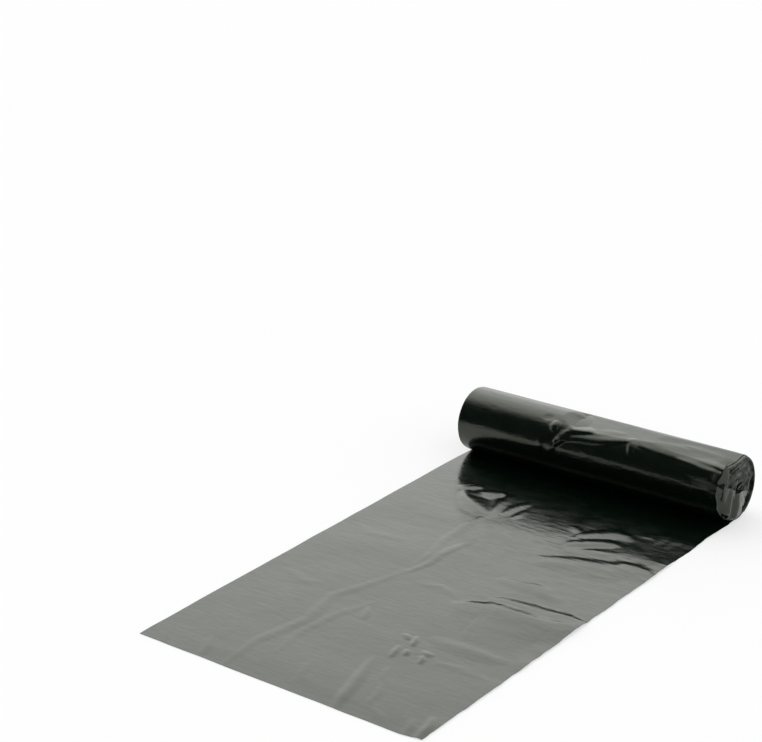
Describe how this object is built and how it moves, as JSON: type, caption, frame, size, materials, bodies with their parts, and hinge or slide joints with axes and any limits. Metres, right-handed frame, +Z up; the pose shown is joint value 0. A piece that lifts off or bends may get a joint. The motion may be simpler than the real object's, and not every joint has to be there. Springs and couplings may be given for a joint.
{
  "type": "bin bag roll",
  "caption": "Coreless roll of folded black plastic refuse sacks lying on a flat surface, with its free end pulled out flat and lightly creased in front of it.",
  "frame": {"origin": "middle of the footprint, on the surface that the roll and its free end lie on", "axes": "+X along the roll's axis, -Y towards the free end of the strip, +Z up"},
  "size_m": [0.353, 0.614, 0.0753],
  "materials": {
    "film": "glossy black polythene film, creased"
  },
  "bodies": {
    "root": {"bag_roll": "film"}
  },
  "joints": []
}
